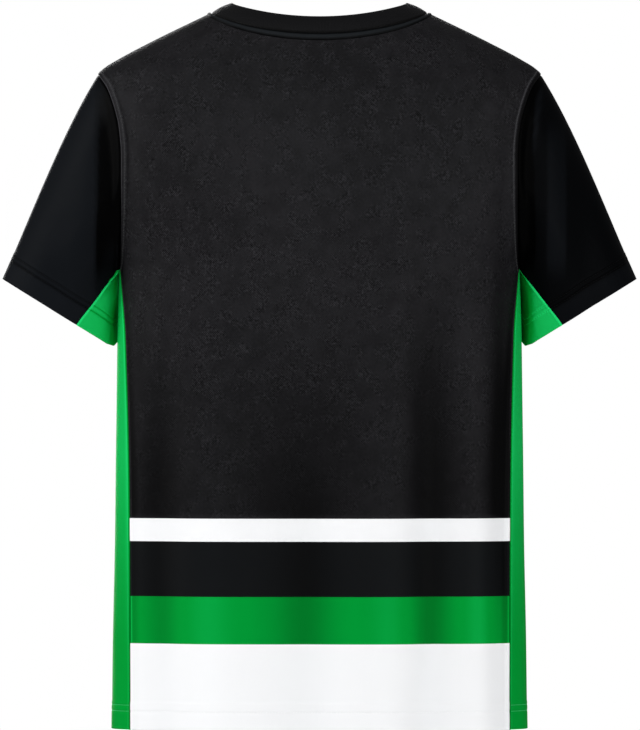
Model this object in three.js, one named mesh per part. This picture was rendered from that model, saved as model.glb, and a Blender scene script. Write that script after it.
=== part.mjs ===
// A short-sleeved, crew-neck football jersey, filled out as when it is worn, with nobody in it.
// Millimetres, +Z up. The front faces -Y and the wearer's left side is on +X.
// The origin lies midway between the two high shoulder points, where the jersey is carried.

import * as THREE from 'three';

// Cloth
const CLOTH = 1.6;
const RIB = 2.4;
const SEAM_GAP = 0.3;
const CUT_REACH = 2; // the most that a slanted cut face may run, in wall thicknesses

// Levels that the pieces meet at, below the high shoulder point
const HEM = -715;
const ARMPIT = -256;
const SHOULDER_TIP = -62;

// Grid steps. A panel's rows run from its side edge to its middle line, and above the neckline's
// lowest point to the neckline
const HALF_COLUMNS = 13;
const SIDE_ROWS = 8;
const ARMHOLE_ROWS = 15;
const NECK_ROWS = { back: 8, front: 9 };
const SIDE_PANEL_COLUMNS = 6;
const SLEEVE_ROWS = 8;
const COLLAR_ROWS = 3;

// Level sections of the body: half width, and depth behind and in front of the side line
const SECTIONS = [
  { z: 12, width: 84, back: 56, front: 54 },
  { z: 0, width: 108, back: 58, front: 58 },
  { z: -27, width: 163.5, back: 68, front: 69 },
  { z: -47, width: 201.5, back: 78, front: 76 },
  { z: -57, width: 217, back: 83, front: 80 },
  { z: -65, width: 223, back: 87, front: 83 },
  { z: -100, width: 230, back: 98, front: 94 },
  { z: -160, width: 230, back: 108, front: 109 },
  { z: -210, width: 213, back: 112, front: 117 },
  { z: -256, width: 200.5, back: 112, front: 120 },
  { z: -330, width: 202, back: 109, front: 117 },
  { z: -430, width: 203.5, back: 106, front: 113 },
  { z: -530, width: 205, back: 105, front: 110 },
  { z: -715, width: 208, back: 106, front: 108 },
];

// How far out the armhole seam and the side panel's seams lie
const ARMHOLE = [
  { z: -62, x: 221.4 },
  { z: -75, x: 212.3 },
  { z: -88, x: 207 },
  { z: -101, x: 203 },
  { z: -115, x: 200 },
  { z: -144, x: 197.6 },
  { z: -186, x: 197.6 },
  { z: -246, x: 198.4 },
  { z: -256, x: 199 },
];
const SIDE_SEAM = [
  { z: -256, x: 199 },
  { z: -327, x: 193.5 },
  { z: -492, x: 190 },
  { z: -715, x: 189 },
];

// Neckline: it runs from one high shoulder point to the other
const NECK = {
  halfWidth: 108,
  back: { drop: 21.3, roundness: 1.6 },
  front: { drop: 105, roundness: 1 },
};

// Collar band: its width, and how far it leans in towards the neck at the middle
const COLLAR = { sideWidth: 23, middleWidth: 21, backLean: 0.26, frontLean: 0.08, crown: 1 };

// The left sleeve's hem is an ellipse, high at its outer end, and the arm reaches a little forwards
const CUFF = {
  middle: new THREE.Vector3(257.25, -32, -303),
  along: new THREE.Vector3(60.25, 0, 37.2),
  across: 48,
  gussetAngle: THREE.MathUtils.degToRad(104),
  gussetBow: THREE.MathUtils.degToRad(7), // how far the gusset's seams turn under, half way down
  underarmLift: 15,
  liftStart: 0.8,
};

// How the sleeve leaves the armhole and reaches its hem: an even part, and a part that is added
// on the outer side, taken off under the arm, or turned to the back
const SLEEVE_WAYS = {
  start: { x: 64, xOuter: 42, xUnder: -16, y: -24, yUnder: -25, yBack: 22, z: -92, zOuter: -78 },
  end: { x: 42, xOuter: 48, xUnder: 0, y: -28, yUnder: 0, yBack: -16, z: -125, zOuter: -75 },
};
const SLEEVE_UNDER_POWER = 3; // keeps the underarm's own heading low on the sleeve
const CLEAR_OF_BODY = 1.8;
const CLEAR_BY = 0.125; // the share of the sleeve's length by which it stands that clear
const ROW_CROWDING = 0.45; // how much closer a sleeve's rows lie beside the armhole

// Soft upright troughs and ridges: place across, half spread, depth (a ridge is negative), the
// level where each starts and the length over which it deepens
const BODY_FOLDS = [
  { panel: 'back', x: 160, spread: 20, depth: 7, top: -290, fade: 170 },
  { panel: 'back', x: 110, spread: 26, depth: -3, top: -260, fade: 200 },
  { panel: 'back', x: 16, spread: 36, depth: 9, top: -310, fade: 180 },
  { panel: 'back', x: -72, spread: 24, depth: -3, top: -230, fade: 200 },
  { panel: 'back', x: -112.5, spread: 23, depth: 10, top: -200, fade: 190 },
  { panel: 'back', x: -158, spread: 20, depth: -4, top: -240, fade: 160 },
  { panel: 'front', x: 138, spread: 24, depth: 8, top: -250, fade: 190 },
  { panel: 'front', x: 62, spread: 30, depth: 7, top: -340, fade: 160 },
  { panel: 'front', x: 10, spread: 26, depth: -3, top: -320, fade: 200 },
  { panel: 'front', x: -48, spread: 34, depth: 8, top: -290, fade: 180 },
  { panel: 'front', x: -150, spread: 22, depth: 8, top: -270, fade: 170 },
];

// Folds down each sleeve, beside the armhole seam: place across, half spread, depth, and ends
const SLEEVE_FOLDS = [
  { sleeve: 'left', x: 211, spread: 13, depth: 6, top: -90, bottom: -262 },
  { sleeve: 'left', x: 262, spread: 16, depth: 2.5, top: -190, bottom: -300 },
  { sleeve: 'right', x: 208, spread: 10, depth: 6, top: -95, bottom: -262 },
  { sleeve: 'right', x: 231, spread: 12, depth: -3, top: -90, bottom: -260 },
  { sleeve: 'right', x: 266, spread: 15, depth: 4, top: -150, bottom: -310 },
];
const SLEEVE_FOLD_FADE = { top: 30, bottom: 40 }; // lengths over which such a fold starts and ends
const SEAM_HOLDS = 0.12; // the share of the sleeve's length that the armhole seam holds flatter

const BLACK_MESH = { color: 0x1d1f21, roughness: 0.85, metalness: 0 };
const BLACK_SMOOTH = { color: 0x121416, roughness: 0.7, metalness: 0 };
const GREEN = { color: 0x00a651, roughness: 0.7, metalness: 0 };

// Smooth reading of a table whose rows run down from the top

/** The tables' values at a level, with no overshoot between rows. */
function readTable(table, column, z) {
  const last = table.length - 1;
  if (z >= table[0].z) return table[0][column];
  if (z <= table[last].z) return table[last][column];
  let row = 0;
  while (z < table[row + 1].z) row += 1;
  const slope = (k) =>
    (table[k + 1][column] - table[k][column]) / (table[k + 1].z - table[k].z);
  const tangent = (k) => {
    if (k === 0) return slope(0);
    if (k === last) return slope(last - 1);
    const product = slope(k - 1) * slope(k);
    return product <= 0 ? 0 : (2 * product) / (slope(k - 1) + slope(k));
  };
  const step = table[row + 1].z - table[row].z;
  return hermite(
    table[row][column],
    tangent(row) * step,
    table[row + 1][column],
    tangent(row + 1) * step,
    (z - table[row].z) / step,
  );
}

/** A cubic from one value and slope to another. */
function hermite(start, startSlope, end, endSlope, t) {
  const t2 = t * t;
  const t3 = t2 * t;
  return (
    (2 * t3 - 3 * t2 + 1) * start +
    (t3 - 2 * t2 + t) * startSlope +
    (3 * t2 - 2 * t3) * end +
    (t3 - t2) * endSlope
  );
}

const ramp = THREE.MathUtils.smoothstep;
const mix = THREE.MathUtils.lerp;
const bell = (distance, spread) => Math.exp(-((distance / spread) ** 2));

// The body's outer surface. An angle of 0 is the left side line, the back has angles up to pi and
// the front has the same angles below zero.

/** The body's surface without folds. */
function bodyForm(angle, z) {
  const depth = Math.sin(angle) >= 0 ? 'back' : 'front';
  return new THREE.Vector3(
    readTable(SECTIONS, 'width', z) * Math.cos(angle),
    readTable(SECTIONS, depth, z) * Math.sin(angle),
    z,
  );
}

/** How far the folds push the body's surface in at a place on it. */
function foldDepth(angle, x, z) {
  const panel = Math.sin(angle) >= 0 ? 'back' : 'front';
  const ofPanel = BODY_FOLDS.filter((fold) => fold.panel === panel);
  return ofPanel.reduce(
    (sum, fold) =>
      sum +
      fold.depth * bell(x - fold.x, fold.spread) * ramp(-z, -fold.top, -fold.top + fold.fade),
    0,
  );
}

/** A point of the body's outer surface, folds and all. */
function bodyPoint(angle, z) {
  const point = bodyForm(angle, z);
  const depth = Math.sin(angle) >= 0 ? 'back' : 'front';
  const outwards = new THREE.Vector3(
    Math.cos(angle) / readTable(SECTIONS, 'width', z),
    Math.sin(angle) / readTable(SECTIONS, depth, z),
    0,
  ).normalize();
  return point.addScaledVector(outwards, -foldDepth(angle, point.x, z));
}

/** The body's outward direction, square to its surface. */
function bodyNormal(angle, z) {
  const step = 0.01;
  const around = bodyPoint(angle + step, z).sub(bodyPoint(angle - step, z));
  const up = bodyPoint(angle, z + 1).sub(bodyPoint(angle, z - 1));
  return around.cross(up).normalize();
}

/** The angle at which the body's surface lies a given distance out from the middle. */
function angleAt(x, z) {
  return Math.acos(Math.min(1, x / readTable(SECTIONS, 'width', z)));
}

// Places on the body's surface, each an angle and a level

const evenly = (from, to, steps) =>
  Array.from({ length: steps + 1 }, (_, k) => mix(from, to, k / steps));

const sideLevels = evenly(HEM, ARMPIT, SIDE_ROWS);
const armholeLevels = evenly(Math.PI, 0, ARMHOLE_ROWS).map((turn) =>
  mix(ARMPIT, SHOULDER_TIP, (1 + Math.cos(turn)) / 2),
);

/** The place on a panel's side edge: the side seam, and above it the armhole. */
function edgePlace(z) {
  if (z > SHOULDER_TIP - 1e-6) return { angle: 0, z: SHOULDER_TIP };
  return { angle: angleAt(readTable(z > ARMPIT ? ARMHOLE : SIDE_SEAM, 'x', z), z), z };
}

/** Half of a neckline: from the middle of the back or front up to the left high shoulder point. */
class Neckline extends THREE.Curve {
  constructor(panel) {
    super();
    this.panel = panel;
  }

  place(t) {
    const { drop, roundness } = NECK[this.panel];
    const turn = (Math.PI / 2) * (1 - t);
    const z = -drop * Math.sin(turn) ** roundness;
    const reach = (NECK.halfWidth * Math.cos(turn)) / readTable(SECTIONS, 'width', z);
    return { angle: Math.acos(Math.min(1, reach)), z };
  }

  getPoint(t) {
    const { angle, z } = this.place(t);
    return bodyForm(this.panel === 'back' ? angle : -angle, z);
  }

  /** Places spaced evenly along it. */
  places(steps) {
    return evenly(0, 1, steps).map((share) => this.place(this.getUtoTmapping(share)));
  }
}

const neckPlaces = {
  back: new Neckline('back').places(NECK_ROWS.back),
  front: new Neckline('front').places(NECK_ROWS.front),
};

/** The left half of the back or front: columns of places from its side edge to its middle. */
function halfPanelPlaces(panel) {
  const rowsBelowNeck = ARMHOLE_ROWS - NECK_ROWS[panel];
  const middle = [
    ...sideLevels,
    ...evenly(ARMPIT, neckPlaces[panel][0].z, rowsBelowNeck).slice(1, -1),
  ].map((z) => ({ angle: Math.PI / 2, z }));
  const inner = [...middle, ...neckPlaces[panel]];
  const outer = [...sideLevels, ...armholeLevels.slice(1)].map(edgePlace);
  return evenly(0, 1, HALF_COLUMNS).map((share) =>
    outer.map((place, row) => ({
      angle: mix(place.angle, inner[row].angle, share),
      z: mix(place.z, inner[row].z, share),
    })),
  );
}

// Walls. A sheet is a list of grids, and a grid holds columns of spots: the point on the outside
// of the cloth, the point on its inside, and whether the spot is on an edge that isn't sewn.

/** A spot on the body: the cloth lies inside the outer surface. */
function bodySpot({ angle, z }, free = false, thickness = CLOTH) {
  const outer = bodyPoint(angle, z);
  const inner = outer.clone().addScaledVector(bodyNormal(angle, z), -thickness);
  return { outer, inner, free };
}

/** Directions square to a ring of columns of points, taken from the neighbours. */
function ringNormals(points) {
  const count = points.length;
  const rows = points[0].length;
  return points.map((line, i) =>
    line.map((_, j) => {
      const around = points[(i + 1) % count][j].clone().sub(points[(i + count - 1) % count][j]);
      const along = line[Math.min(rows - 1, j + 1)].clone().sub(line[Math.max(0, j - 1)]);
      return around.cross(along).normalize();
    }),
  );
}

/** Joins grids into one sheet: spots in the same place are one vertex. */
function joinGrids(grids) {
  const found = new Map();
  const spots = [];
  const vertex = (spot) => {
    const key = spot.outer.toArray().map((value) => value.toFixed(3)).join();
    if (!found.has(key)) {
      found.set(key, spots.length);
      spots.push({ ...spot, outer: spot.outer.clone(), inner: spot.inner.clone() });
    }
    return found.get(key);
  };
  const faces = [];
  grids.forEach((grid) => {
    const ids = grid.map((line) => line.map(vertex));
    for (let i = 0; i < ids.length - 1; i += 1) {
      for (let j = 0; j < ids[i].length - 1; j += 1) {
        faces.push([ids[i][j], ids[i + 1][j], ids[i + 1][j + 1]]);
        faces.push([ids[i][j], ids[i + 1][j + 1], ids[i][j + 1]]);
      }
    }
  });
  const facing = faces.reduce((sum, [a, b, c]) => {
    const normal = spots[b].outer.clone().sub(spots[a].outer);
    normal.cross(spots[c].outer.clone().sub(spots[a].outer));
    return sum + normal.dot(spots[a].outer.clone().sub(spots[a].inner));
  }, 0);
  return { spots, faces: facing > 0 ? faces : faces.map(([a, b, c]) => [a, c, b]) };
}

/** The edges that only one face of a sheet has, with that face's third corner. */
function openEdges({ faces }) {
  const edges = new Map();
  faces.forEach(([a, b, c]) => {
    [[a, b, c], [b, c, a], [c, a, b]].forEach(([from, to, third]) => {
      if (!edges.delete(`${to},${from}`)) edges.set(`${from},${to}`, [from, to, third]);
    });
  });
  return [...edges.values()];
}

/** Draws the sewn edges back into their sheet, to leave half of each seam's gap. */
function openSeams({ spots, faces }) {
  const cuts = spots.map(() => []);
  openEdges({ faces }).forEach(([a, b, third]) => {
    if (spots[a].free && spots[b].free) return;
    const along = spots[b].outer.clone().sub(spots[a].outer);
    const into = spots[third].outer.clone().sub(spots[a].outer);
    [a, b].forEach((end) => {
      const through = spots[end].inner.clone().sub(spots[end].outer);
      const cut = along.clone().cross(through).normalize();
      cuts[end].push(cut.multiplyScalar(Math.sign(cut.dot(into))));
    });
  });
  cuts.forEach((cut, id) => {
    if (cut.length === 0) return;
    const shift = cut.reduce((sum, part) => sum.add(part), new THREE.Vector3());
    const turn = cut.length === 2 ? Math.max(0.4, 1 + cut[0].dot(cut[1])) : 1;
    shift.multiplyScalar(SEAM_GAP / 2 / turn);
    spots[id].outer.add(shift);
    spots[id].inner.add(shift);
  });
}

/** A named piece: a closed wall of cloth, with a rim along each edge. */
function piece(name, grids, material) {
  const { spots, faces } = joinGrids(grids);
  openSeams({ spots, faces });
  const inside = spots.length;
  const positions = [
    ...spots.flatMap(({ outer }) => outer.toArray()),
    ...spots.flatMap(({ inner }) => inner.toArray()),
  ];
  const index = faces.flatMap(([a, b, c]) => [a, b, c, inside + a, inside + c, inside + b]);
  openEdges({ faces }).forEach(([a, b]) => {
    const rises = spots[b].outer.z > spots[a].outer.z;
    index.push(a, inside + a, rises ? b : inside + b);
    index.push(b, rises ? inside + a : a, inside + b);
  });
  const geometry = new THREE.BufferGeometry();
  geometry.setAttribute('position', new THREE.Float32BufferAttribute(positions, 3));
  geometry.setIndex(index);
  geometry.computeVertexNormals();
  const mesh = new THREE.Mesh(geometry, new THREE.MeshStandardMaterial(material));
  mesh.name = name;
  return mesh;
}

// Sleeves

/** The left sleeve's hem: an angle of 0 is the outer end, and the back has angles above zero. */
function cuffPoint(turn) {
  const lift = CUFF.underarmLift * ramp(-Math.cos(turn), CUFF.liftStart, 1);
  return CUFF.middle
    .clone()
    .addScaledVector(CUFF.along, Math.cos(turn))
    .add(new THREE.Vector3(0, CUFF.across * Math.sin(turn), lift));
}

/** How far round the sleeve a column lies, part of the way down. */
function turnAt({ gussetPart, underPart }, share) {
  const gusset = CUFF.gussetAngle + CUFF.gussetBow * 4 * share * (1 - share);
  return gussetPart * gusset - underPart * 2 * Math.PI;
}

/** A point of the left sleeve, part of the way from a place on the armhole to the hem. */
function sleevePoint(armhole, column, share) {
  const turn = turnAt(column, share);
  const start = bodyPoint(armhole.angle, armhole.z);
  const end = cuffPoint(turn);
  const under = ((1 - Math.cos(turn)) / 2) ** SLEEVE_UNDER_POWER;
  const heading = (way) => ({
    x: way.x + way.xOuter * Math.cos(turn) + way.xUnder * under,
    y: way.y + way.yUnder * under + way.yBack * Math.sin(turn),
    z: way.z + way.zOuter * Math.cos(turn),
  });
  const leave = heading(SLEEVE_WAYS.start);
  const arrive = heading(SLEEVE_WAYS.end);
  const along = (axis) => hermite(start[axis], leave[axis], end[axis], arrive[axis], share);
  const point = new THREE.Vector3(along('x'), along('y'), along('z'));
  return share > 0 ? clearBody(point, share) : point;
}

/** Holds a point of the left sleeve off the body's side. */
function clearBody(point, share) {
  if (point.z > ARMPIT) return point;
  const depth = readTable(SECTIONS, point.y >= 0 ? 'back' : 'front', point.z);
  const reach = Math.sqrt(Math.max(0, 1 - (point.y / depth) ** 2));
  const body = readTable(SECTIONS, 'width', point.z) * reach;
  point.x = Math.max(point.x, body + CLEAR_OF_BODY * Math.min(1, share / CLEAR_BY));
  return point;
}

/** The places round the left armhole: up the back, over the top, down the front and under. */
function armholePlaces() {
  const back = armholeLevels.map(edgePlace);
  const front = back.slice(0, -1).reverse();
  const low = back[0].angle;
  const under = evenly(-low, low, SIDE_PANEL_COLUMNS).slice(1, -1);
  return [
    ...back,
    ...front.map(({ angle, z }) => ({ angle: -angle, z })),
    ...under.map((angle) => ({ angle, z: ARMPIT })),
  ];
}

/**
 * How far round the sleeve each of those places lies, shared out by length along the armhole: from
 * one gusset seam over the top to the other, and then across the gusset.
 */
function columnTurns(places) {
  const points = places.map(({ angle, z }) => bodyForm(angle, z));
  const steps = points.map((point, k) => (k === 0 ? 0 : point.distanceTo(points[k - 1])));
  const lengthTo = (k) => steps.slice(0, k + 1).reduce((sum, step) => sum + step, 0);
  const top = ARMHOLE_ROWS;
  const frontSeam = 2 * ARMHOLE_ROWS;
  const done = (k, from, to) => (lengthTo(k) - lengthTo(from)) / (lengthTo(to) - lengthTo(from));
  return places.map((_, k) => {
    if (k <= top) return { gussetPart: 1 - done(k, 0, top), underPart: 0 };
    if (k <= frontSeam) return { gussetPart: -done(k, top, frontSeam), underPart: 0 };
    const underPart = (k - frontSeam) / SIDE_PANEL_COLUMNS;
    return { gussetPart: 2 * underPart - 1, underPart };
  });
}

const sleeveShares = evenly(0, 1, SLEEVE_ROWS).map((t) => mix(t, t * t, ROW_CROWDING));

/** How far the folds push a sleeve in. */
function sleeveFoldDepth(sleeve, point) {
  const folds = SLEEVE_FOLDS.filter((fold) => fold.sleeve === sleeve);
  return folds.reduce((sum, fold) => {
    const start = ramp(-point.z, -fold.top, -fold.top + SLEEVE_FOLD_FADE.top);
    const end = 1 - ramp(-point.z, -fold.bottom - SLEEVE_FOLD_FADE.bottom, -fold.bottom);
    return sum + fold.depth * bell(point.x - fold.x, fold.spread) * start * end;
  }, 0);
}

/** One whole sleeve, gusset included: the armhole's places and columns of spots down to the hem. */
function wholeSleeve(sleeve) {
  const side = sleeve === 'left' ? 1 : -1;
  const places = armholePlaces();
  const turns = columnTurns(places);
  const points = places.map((place, k) =>
    sleeveShares.map((share) => sleevePoint(place, turns[k], share)),
  );
  const plainNormals = ringNormals(points);
  points.forEach((line, i) =>
    line.forEach((point, j) => {
      const facing = plainNormals[i][j].y ** 2 * ramp(sleeveShares[j], 0, SEAM_HOLDS);
      point.addScaledVector(plainNormals[i][j], -sleeveFoldDepth(sleeve, point) * facing);
    }),
  );
  const normals = ringNormals(points);
  const onSide = (vector) => vector.setX(vector.x * side);
  const ring = places.map(({ angle, z }, i) => ({
    angle: side > 0 ? angle : Math.PI - angle,
    z,
    normal: onSide(normals[i][0].clone()),
  }));
  const columns = points.map((line, i) =>
    line.map((point, j) => {
      const inner = point.clone().addScaledVector(normals[i][j], -CLOTH);
      return { outer: onSide(point), inner: onSide(inner), free: j === SLEEVE_ROWS };
    }),
  );
  ring.forEach((place, i) => {
    columns[i][0] = cutSpot(place);
  });
  return columns;
}

/** The spot on an armhole: the sleeve and the body share a cut face half way between them. */
function cutSpot({ angle, z, normal }) {
  const body = bodyNormal(angle, z);
  const middle = body.clone().add(normal).normalize();
  const run = Math.min(CUT_REACH, 1 / Math.max(0.1, middle.dot(body)));
  const outer = bodyPoint(angle, z);
  return { outer, inner: outer.clone().addScaledVector(middle, -CLOTH * run), free: false };
}

const sleeves = { left: wholeSleeve('left'), right: wholeSleeve('right') };
const FRONT_SEAM = 2 * ARMHOLE_ROWS;
const ringSize = sleeves.left.length;

/** Columns of a whole sleeve, from one to another round its ring. */
function sleeveColumns(side, from, count) {
  return evenly(from, from + count, count).map((k) => sleeves[side][k % ringSize]);
}

// Body

/** The spot that a panel shares with the armhole on one side. */
function armholeSpot(panel, side, row) {
  const step = row - SIDE_ROWS;
  return sleeves[side][panel === 'back' ? step : FRONT_SEAM - step][0];
}

/** The back or the front, in two halves that join at the middle below the neckline. */
function bodyPanel(panel) {
  const places = halfPanelPlaces(panel);
  const turn = panel === 'back' ? 1 : -1;
  const half = (side) =>
    places.map((line, column) =>
      line.map(({ angle, z }, row) => {
        if (column === 0 && row >= SIDE_ROWS) return armholeSpot(panel, side, row);
        const onSide = side === 'left' ? angle : Math.PI - angle;
        return bodySpot({ angle: turn * onSide, z }, row === 0);
      }),
    );
  return piece(`${panel}_panel`, [half('left'), half('right').reverse()], BLACK_MESH);
}

/** A side panel, between the back's seam and the front's. */
function sidePanel(side) {
  const under = sleeveColumns(side, FRONT_SEAM, SIDE_PANEL_COLUMNS);
  const grid = evenly(-1, 1, SIDE_PANEL_COLUMNS).map((share, column) =>
    sideLevels.map((z, row) => {
      if (row === SIDE_ROWS) return under[column][0];
      const angle = share * edgePlace(z).angle;
      return bodySpot({ angle: side === 'left' ? angle : Math.PI - angle, z }, row === 0);
    }),
  );
  return piece(`side_panel_${side}`, [grid], GREEN);
}

// Collar

/** The rib band round the neck. */
function collar() {
  const quarter = (panel, side) =>
    neckPlaces[panel].map(({ angle, z }) => {
      const onSide = side === 'left' ? angle : Math.PI - angle;
      return { panel, angle: panel === 'back' ? onSide : -onSide, z };
    });
  const loop = [
    ...quarter('back', 'left').reverse().slice(0, -1),
    ...quarter('back', 'right').slice(0, -1),
    ...quarter('front', 'right').reverse().slice(0, -1),
    ...quarter('front', 'left').slice(0, -1),
  ];
  const seam = loop.map(({ angle, z }) => bodyPoint(angle, z));
  const points = loop.map(({ panel, angle, z }, k) => {
    const normal = bodyNormal(angle, z);
    const next = seam[(k + 1) % seam.length];
    const along = next.clone().sub(seam[(k + seam.length - 1) % seam.length]).normalize();
    const middle = Math.abs(Math.sin(angle)) ** 2;
    const lean = (panel === 'back' ? COLLAR.backLean : COLLAR.frontLean) * middle;
    const up = normal.clone().cross(along).addScaledVector(normal, -lean).normalize();
    const width = mix(COLLAR.sideWidth, COLLAR.middleWidth, middle);
    return evenly(0, 1, COLLAR_ROWS).map((share) =>
      seam[k]
        .clone()
        .addScaledVector(up, width * share)
        .addScaledVector(normal, COLLAR.crown * Math.sin(Math.PI * share)),
    );
  });
  const normals = ringNormals(points);
  const columns = points.map((line, i) =>
    line.map((outer, j) => {
      if (j === 0) return bodySpot(loop[i], false, RIB);
      const inner = outer.clone().addScaledVector(normals[i][j], -RIB);
      return { outer, inner, free: j === COLLAR_ROWS };
    }),
  );
  return piece('collar', [[...columns, columns[0]]], BLACK_SMOOTH);
}

const jersey = new THREE.Group();
jersey.add(bodyPanel('back'), bodyPanel('front'), collar());
['left', 'right'].forEach((side) => {
  jersey.add(
    sidePanel(side),
    piece(`sleeve_${side}`, [sleeveColumns(side, 0, FRONT_SEAM)], BLACK_SMOOTH),
    piece(
      `sleeve_gusset_${side}`,
      [sleeveColumns(side, FRONT_SEAM, SIDE_PANEL_COLUMNS)],
      GREEN,
    ),
  );
});

export default jersey;
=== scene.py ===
"""A football jersey with short sleeves and a crew neck, filled out with nobody in it.

Each cloth piece here stands for one node of the CAD model: a thin wall on the same form, with its
seams, turned-up hems, stitches and creases. Sizes are millimetres in the CAD model's frame: +Z up,
the front faces -Y and the wearer's left side is on +X. They become metres when a mesh is made.
"""

import math

import bpy
import numpy as np
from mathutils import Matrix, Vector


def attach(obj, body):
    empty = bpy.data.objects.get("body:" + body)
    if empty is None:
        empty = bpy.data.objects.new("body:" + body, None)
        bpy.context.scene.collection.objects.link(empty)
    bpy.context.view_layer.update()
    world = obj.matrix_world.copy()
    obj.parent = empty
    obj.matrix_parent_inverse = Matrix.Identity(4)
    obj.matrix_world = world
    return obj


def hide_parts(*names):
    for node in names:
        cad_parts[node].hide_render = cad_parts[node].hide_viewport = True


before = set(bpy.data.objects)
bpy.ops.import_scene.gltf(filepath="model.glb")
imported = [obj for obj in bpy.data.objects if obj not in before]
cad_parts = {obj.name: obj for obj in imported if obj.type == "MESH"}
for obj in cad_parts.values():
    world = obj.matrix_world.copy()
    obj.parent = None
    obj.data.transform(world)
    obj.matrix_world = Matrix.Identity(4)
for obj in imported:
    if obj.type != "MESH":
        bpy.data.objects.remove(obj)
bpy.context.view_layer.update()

MM = 0.001
SIDES = ("left", "right")
TOLERANCE = 1e-6
TINY = 1e-12  # keeps a length from being zero
FAR = 1e3


def named(columns, *rows):
    """A table: its columns' names, then its rows."""
    return [dict(zip(columns.split(), row)) for row in rows]


# Cloth
CLOTH = 1.0
RIB = 2.2
SEAM_ALLOWANCE = 0.9  # added inside, where a seam's layers lie on each other
HEM_TURNING = 1.0  # added inside, where a hem is turned up

# Levels below the high shoulder point
HEM = -715
ARMPIT = -256
SHOULDER_TIP = -62

# Printed bands on the back and front, from the hem up: the level where each ends
BANDS = [
    {"finish": "white", "top": -629.2},
    {"finish": "green", "top": -582.2},
    {"finish": "black", "top": -527.4},
    {"finish": "white", "top": -504.6},
    {"finish": "mesh", "top": 20},
]

# Level sections of the body: half width, and depth behind and in front of the side line
SECTIONS = named(
    "z width back front",
    (12, 84, 56, 54),
    (0, 108, 58, 58),
    (-27, 163.5, 68, 69),
    (-47, 201.5, 78, 76),
    (-57, 217, 83, 80),
    (-65, 223, 87, 83),
    (-100, 230, 98, 94),
    (-160, 230, 108, 109),
    (-210, 213, 112, 117),
    (-256, 200.5, 112, 120),
    (-330, 202, 109, 117),
    (-430, 203.5, 106, 113),
    (-530, 205, 105, 110),
    (-715, 208, 106, 108),
)

# How far out the armhole seam and the side panel's seams lie
ARMHOLE = named(
    "z x",
    (-62, 221.4),
    (-75, 212.3),
    (-88, 207),
    (-101, 203),
    (-115, 200),
    (-144, 197.6),
    (-186, 197.6),
    (-246, 198.4),
    (-256, 199),
)
SIDE_SEAM = named(
    "z x",
    (-256, 199),
    (-327, 193.5),
    (-492, 190),
    (-715, 189),
)

NECK_HALF_WIDTH = 108
NECK = {
    "back": {"drop": 21.3, "roundness": 1.6, "starts": 0.47},
    "front": {"drop": 105, "roundness": 1, "starts": 0.40},
}
COLLAR = {"side_width": 23, "middle_width": 21, "back_lean": 0.26, "front_lean": 0.08, "crown": 1.2}

# The left sleeve's hem is an ellipse, high at its outer end
CUFF = {
    "middle": np.array([257.25, -32, -303]),
    "along": np.array([60.25, 0, 37.2]),
    "across": 48,
    "gusset_angle": math.radians(104),
    "gusset_bow": math.radians(7),  # how far the gusset's seams turn under, half way down
    "underarm_lift": 15,
    "lift_start": 0.8,
}

# How the sleeve leaves the armhole and reaches its hem: an even part, and a part that is added on
# the outer side, taken off under the arm, or turned to the back
SLEEVE_START = {
    "x": 64, "x_outer": 42, "x_under": -30,
    "y": -24, "y_under": -25, "y_back": 22,
    "z": -92, "z_outer": -78,
}
SLEEVE_END = {
    "x": 42, "x_outer": 48, "x_under": 0,
    "y": -28, "y_under": 0, "y_back": -16,
    "z": -125, "z_outer": -75,
}
SLEEVE_UNDER_POWER = 3
CLEAR_OF_BODY = 0.15
CLEAR_BY = 0.3
CLEAR_SOFTNESS = 0.25
CLEAR_BELOW = (-6, 2)  # depths below the armpit over which the sleeve keeps clear

# Soft upright troughs and ridges of the body: place across, half spread, depth (a ridge is
# negative), the level where each starts and the length over which it deepens
BODY_FOLDS = named(
    "panel x spread depth top fade",
    ("back", 160, 20, 7, -290, 170),
    ("back", 110, 26, -3, -260, 200),
    ("back", 16, 36, 9, -310, 180),
    ("back", -72, 24, -3, -230, 200),
    ("back", -112.5, 23, 10, -200, 190),
    ("back", -158, 20, -4, -240, 160),
    ("front", 138, 24, 8, -250, 190),
    ("front", 62, 30, 7, -340, 160),
    ("front", 10, 26, -3, -320, 200),
    ("front", -48, 34, 8, -290, 180),
    ("front", -150, 22, 8, -270, 170),
)

# Folds down each sleeve, beside the armhole seam: place across, half spread, depth, ends, and the painted
# highlight (above 0) or painted shade (below 0) in it
SLEEVE_FOLDS = named(
    "sleeve x spread depth top bottom tone",
    ("left", 211, 15, 6, -60, -290, -1.5),
    ("left", 262, 16, 2.5, -190, -300, 0),
    ("right", 206, 10, 6, -66, -270, -1),
    ("right", 236, 12, -3, -100, -275, 0.6),
    ("right", 268, 15, 4, -150, -310, 0),
)
SLEEVE_FOLD_TOP = 30
SLEEVE_FOLD_BOTTOM = 40
SEAM_HOLDS = 0.12
# Where the painted shade or highlight of a sleeve fold ends across it
FOLD_TONE_ENDS = np.array([0.6, 0.95])  # shares of a fold's half spread

# A narrow ridge down the right sleeve, from the shoulder in towards the seam, with a painted highlight
# along it
RIDGE = {
    "top": -72, "top_x": 222, "bottom": -185, "bottom_x": 205,
    "spread": 2.6, "height": 1.4, "tone": 0.9,
    "fades_in": (-0.1, 0.15), "fades_out": (0.75, 1.2),
}
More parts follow.
